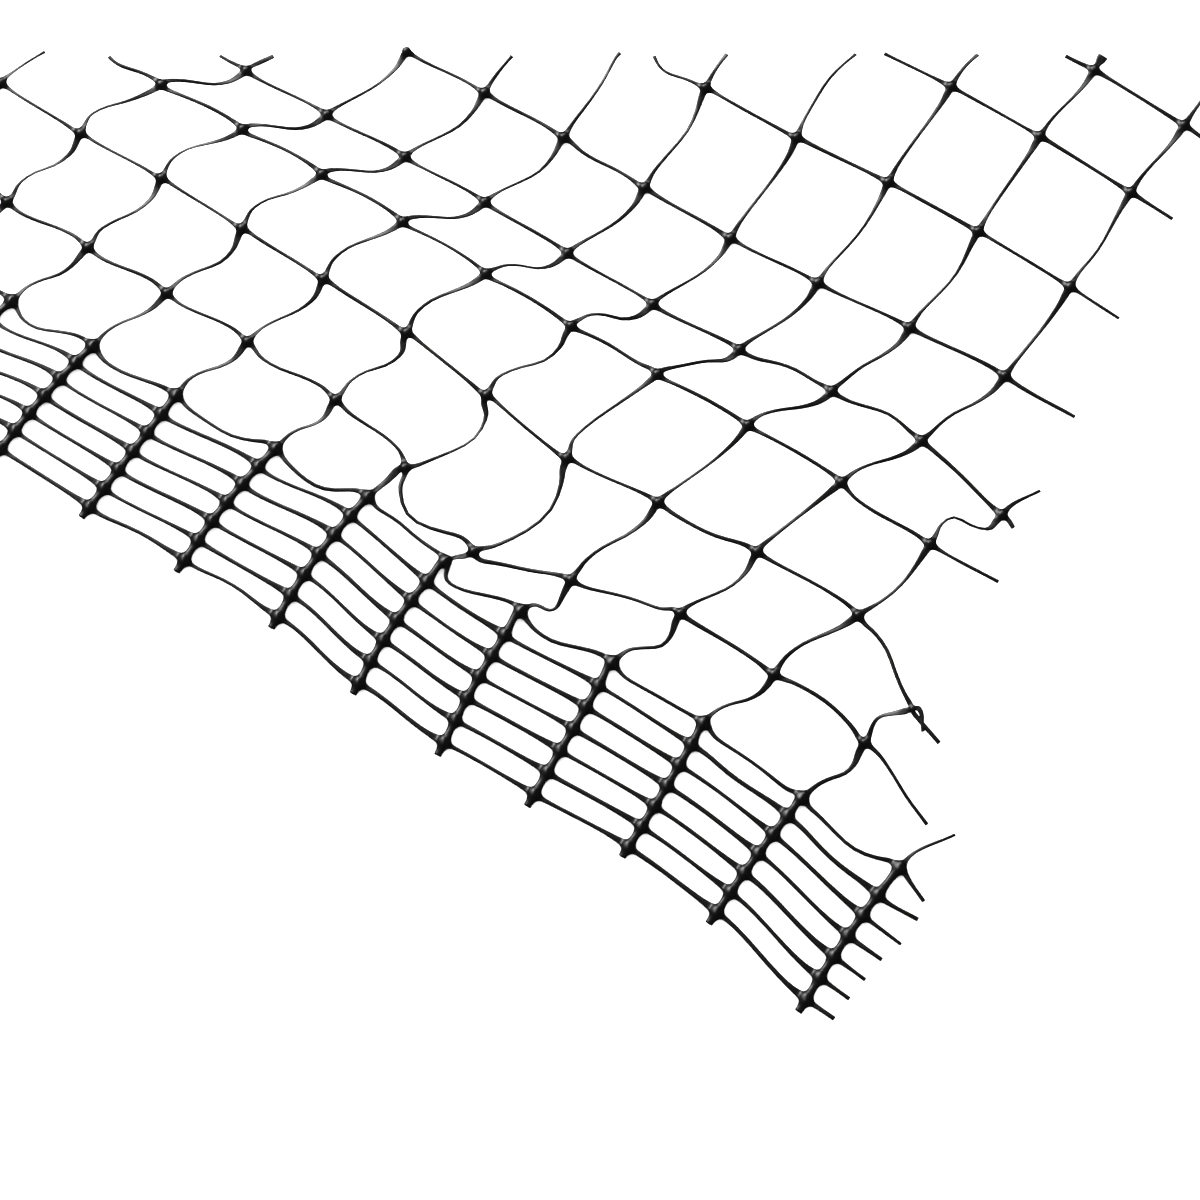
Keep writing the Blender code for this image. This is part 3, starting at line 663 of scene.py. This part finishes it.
def add_strands(ring, distance, drawn, family):
    """Numbers the rings' points, puts the knots' own rings at tied ends and a flat cap at cut ends."""
    global count
    amount, rings = ring.shape[:2]
    numbers = count + np.arange(amount * rings * RING).reshape(amount, rings, RING)
    count += amount * rings * RING
    points.append(ring.reshape(-1, 3))
    thinness.append(np.repeat(drawn.reshape(-1), RING))
    for key, side, place in (("first", family["side"], 0), ("second", family["other"], -1)):
        tied = family[key][:, 0] >= 0
        owner = at(family[key][tied], knot_number)
        used[owner, SIDES.index(side)] = True
        port = KNOT_POINTS * owner[:, None] + np.array(PORT[side])
        joined = np.stack([port, numbers[tied, place]][:: 1 if place == 0 else -1], 1)
        faces.append(sleeve_faces(joined))
        gap = distance[tied][:, [0, 0]] * (0, 1) if place == 0 else distance[tied][:, [-1, -1]] + (0, 0.35)
        add_lines(gap)
        cut = numbers[~tied, place]
        caps.append(cut[:, ::-1] if place == 0 else cut)
    faces.append(sleeve_faces(numbers))
    add_lines(distance)


def add_lines(distance):
    """Each face corner's distance along the strand, and its share of the way round."""
    low, high = distance[:, :-1, None], distance[:, 1:, None]
    along_it = np.stack(np.broadcast_arrays(low, low, high, high), -1) + 0 * AROUND[:, None]
    round_it = np.broadcast_to(np.stack([AROUND, AROUND + 1, AROUND + 1, AROUND], -1) / RING, along_it.shape)
    face_along.append(along_it.reshape(-1, 4))
    face_around.append(round_it.reshape(-1, 4))


for name, family in FAMILIES.items():
    add_strands(*rings_of(name, family), family)

# %% [markdown]
# The bars need only short necks between their knots, and a ragged end past the last one, where the net was slit
# from its neighbour.

# %% Necks and feet of the bars
NECK_HALF = (0.70, 0.62)  # half width and half thickness
FOOT_HALF = (0.72, 0.52)
NECK_RIDGE = 0.22  # one corner stands out, and carries the slanting ridge on
RAGGED = 0.16
bar_at = np.argwhere(kept & (ROW < 0))
low_side, high_side = bar_at, bar_at + (0, 1)
neck_start = at(low_side, knots) + KNOT_SIDE / 2 * at(low_side, knot_across)
neck_end = at(high_side, knots) - KNOT_SIDE / 2 * at(high_side, knot_across)
shares = np.array([0.3, 0.7])[:, None]
neck_middle = neck_start[:, None] * (1 - shares) + neck_end[:, None] * shares
heading = unit(neck_end - neck_start)[:, None]
left = unit(np.cross([0.0, 0.0, 1.0], heading))
rise = np.cross(heading, left)
neck_outline = OUTLINE * NECK_HALF
crest = np.zeros((RING, 1))
crest[5] = NECK_RIDGE
neck_ring = neck_middle[:, :, None] - (neck_outline[:, :1] + crest) * left[:, :, None]
neck_ring = neck_ring + neck_outline[:, 1:] * rise[:, :, None]
neck_gap = np.tile([0.6, 1.3], (len(bar_at), 1))
necks = {"first": low_side, "side": "above", "second": high_side, "other": "below"}
add_strands(neck_ring, neck_gap, np.zeros(neck_gap.shape), necks)

foot_at = np.argwhere(kept & (ROW == -6))
foot_number = np.arange(len(foot_at))[:, None]
foot_reach = 0.9 + 0.5 * np.abs(np.sin(2.2 * foot_number))
foot_gap = np.concatenate([0.5 + 0 * foot_reach, foot_reach - 0.1, foot_reach], 1)
foot_heading = -at(foot_at, knot_across)[:, None]
foot_start = at(foot_at, knots)[:, None] + KNOT_SIDE / 2 * foot_heading
foot_left = unit(np.cross([0.0, 0.0, 1.0], -foot_heading))
foot_middle = (foot_start + foot_gap[..., None] * foot_heading)[:, ::-1]
foot_outline = OUTLINE * FOOT_HALF
ragged = RAGGED * np.sin(foot_number[..., None] * 1.3 + AROUND * 2.9) * np.array([1, 1, 0.2])[:, None]
foot_ring = foot_middle[:, :, None] - foot_outline[:, :1] * foot_left[:, :, None]
foot_ring = foot_ring + foot_outline[:, 1:] * np.array([0.0, 0.0, 1.0])
foot_ring = foot_ring - (0.6 * ragged)[..., None] * foot_heading[:, :, None]
feet = {"first": np.full_like(foot_at, -1), "side": "above", "second": foot_at, "other": "below"}
add_strands(foot_ring, foot_gap, np.zeros(foot_gap.shape), feet)

for number, side in enumerate(SIDES):
    bare = np.flatnonzero(~used[:, number])
    ring = KNOT_POINTS * bare[:, None] + np.array(PORT[side])
    caps.append(ring if side in ("right", "above") else ring[:, ::-1])

# %% Put the arrays into the mesh
points = np.concatenate(points)
points[:, 2] = np.maximum(points[:, 2], 0.0)
quads, caps = np.concatenate(faces), np.concatenate(caps)
mesh = bpy.data.meshes.new("netting")
mesh.from_pydata((points / 1000).tolist(), [], quads.tolist() + caps.tolist())
mesh.update()
drawn_lines = mesh.uv_layers.new(name="draw_lines")
uv = np.zeros((len(mesh.loops), 2), np.float32)
uv[: 4 * len(quads), 0] = np.concatenate(face_along).reshape(-1) / 10
uv[: 4 * len(quads), 1] = np.concatenate(face_around).reshape(-1)
drawn_lines.data.foreach_set("uv", uv.reshape(-1))
drawn = mesh.attributes.new("drawn", "FLOAT", "POINT")
drawn.data.foreach_set("value", np.concatenate(thinness).astype(np.float32))
mesh.polygons.foreach_set("use_smooth", np.ones(len(mesh.polygons), bool))
netting = bpy.data.objects.new("netting_drawn", mesh)
bpy.context.scene.collection.objects.link(netting)
smooth = netting.modifiers.new("flow", "SUBSURF")
smooth.levels = smooth.render_levels = 1
print("faces before smoothing:", len(mesh.polygons), " after, as triangles:", 2 * (4 * len(quads) + 8 * len(caps)))

# %% [markdown]
# The plastic is polypropylene with carbon black, extruded and drawn. Carbon black makes it nearly black, and drawing
# leaves it satin, with fine lines along the strands. Where it is thinnest, the light that comes through is painted
# into the base as a slightly warmer colour.

# %% Black drawn polypropylene
def linear(hex_colour):
    """sRGB hex to linear light: below 0.04045 a twelfth and a bit, above it a power of 2.4."""
    s = np.array([int(hex_colour[i : i + 2], 16) for i in (1, 3, 5)]) / 255
    return (*np.where(s <= 0.04045, s / 12.92, ((s + 0.055) / 1.055) ** 2.4), 1.0)


def node(material, kind, links=(), **settings):
    """Adds a node, sets its properties and sockets, and links its inputs."""
    made = material.node_tree.nodes.new(kind)
    for key, value in settings.items():
        if hasattr(made, key):
            setattr(made, key, value)
        else:
            made.inputs[key.replace("_", " ")].default_value = value
    for socket, source in links:
        material.node_tree.links.new(source, made.inputs[socket])
    return made


polypropylene = bpy.data.materials.new("drawn_black_polypropylene")
polypropylene.use_nodes = True
surface = polypropylene.node_tree.nodes["Principled BSDF"]
surface.inputs["IOR"].default_value = 1.49
surface.inputs["Specular IOR Level"].default_value = 0.4
place = node(polypropylene, "ShaderNodeTexCoord")
thin = node(polypropylene, "ShaderNodeAttribute", attribute_name="drawn")
mottle = node(
    polypropylene, "ShaderNodeTexNoise", [("Vector", place.outputs["Object"])], Scale=900.0, Detail=3.0, Roughness=0.55
)
# The thin, fully drawn parts get a warmer base: a painted glow in place of the light that shines through them.
colour = node(polypropylene, "ShaderNodeMix", [("Factor", thin.outputs["Fac"])], data_type="RGBA")
colour.inputs["A"].default_value = linear("#050505")
colour.inputs["B"].default_value = linear("#080706")
polypropylene.node_tree.links.new(colour.outputs["Result"], surface.inputs["Base Color"])
gloss = node(polypropylene, "ShaderNodeMapRange", [("Value", mottle.outputs["Fac"])])
gloss.inputs["To Min"].default_value = 0.24
gloss.inputs["To Max"].default_value = 0.44
polypropylene.node_tree.links.new(gloss.outputs["Result"], surface.inputs["Roughness"])
stretched = node(polypropylene, "ShaderNodeMapping", [("Vector", place.outputs["UV"])], Scale=(2.5, 9.0, 1.0))
lines = node(polypropylene, "ShaderNodeTexNoise", [("Vector", stretched.outputs["Vector"])], Scale=1.0, Detail=2.0)
along = node(polypropylene, "ShaderNodeBump", [("Height", lines.outputs["Fac"])], Strength=0.5, Distance=0.00012)
relief = node(
    polypropylene,
    "ShaderNodeBump",
    [("Height", mottle.outputs["Fac"]), ("Normal", along.outputs["Normal"])],
    Strength=0.3,
    Distance=0.00012,
)
polypropylene.node_tree.links.new(relief.outputs["Normal"], surface.inputs["Normal"])
mesh.materials.append(polypropylene)

# %% Stand in for the solid
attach(netting, "root")
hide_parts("netting")

# %% [markdown]
# A plain white table and a white tent stand all round. Two soft lights are set low, one in line with the long
# strands and one behind. The bars and webs catch streaks from them, and the long strands stay black.

# %% Table, light and camera
table_mesh = bpy.data.meshes.new("table")
table_mesh.from_pydata([(-3, -3, -0.0002), (3, -3, -0.0002), (3, 3, -0.0002), (-3, 3, -0.0002)], [], [(0, 1, 2, 3)])
table = bpy.data.objects.new("table", table_mesh)
bpy.context.scene.collection.objects.link(table)
paper = bpy.data.materials.new("white_paper")
paper.use_nodes = True
paper.node_tree.nodes["Principled BSDF"].inputs["Base Color"].default_value = linear("#fafafa")
paper.node_tree.nodes["Principled BSDF"].inputs["Roughness"].default_value = 0.9
table_mesh.materials.append(paper)
table.visible_glossy = False

world = bpy.data.worlds.new("tent")
bpy.context.scene.world = world
world.use_nodes = True
world.node_tree.nodes["Background"].inputs["Color"].default_value = (1, 1, 1, 1)
world.node_tree.nodes["Background"].inputs["Strength"].default_value = 2.4
world.cycles_visibility.glossy = False


def soft_light(name, place, aim, side, watts):
    """A square soft light that faces a point."""
    data = bpy.data.lights.new(name, "AREA")
    data.shape = "SQUARE"
    data.size, data.energy = side, watts
    lamp = bpy.data.objects.new(name, data)
    lamp.location = place
    lamp.rotation_euler = (Vector(aim) - Vector(place)).to_track_quat("-Z", "Y").to_euler()
    bpy.context.scene.collection.objects.link(lamp)
    return lamp


soft_light("window", (-0.75, 0.22, 0.60), (0, 0, 0), 0.5, 15.0)
soft_light("side", (-0.45, 0.75, 0.50), (0, 0, 0), 0.4, 5.0)

TARGET = (np.array([25.25, 35.9, 0.0]) - MIDDLE) / 1000
EYE = TARGET + np.array([105.5, -152.4, 570.6]) / 1000
camera_data = bpy.data.cameras.new("camera")
camera_data.sensor_width, camera_data.lens = 36.0, 104.4
camera_data.clip_start, camera_data.clip_end = 0.01, 20.0
camera = bpy.data.objects.new("camera", camera_data)
camera.location = EYE
camera.rotation_euler = Vector(TARGET - EYE).to_track_quat("-Z", "Y").to_euler()
bpy.context.scene.collection.objects.link(camera)
bpy.context.scene.camera = camera
bpy.context.scene.view_settings.view_transform = "Standard"
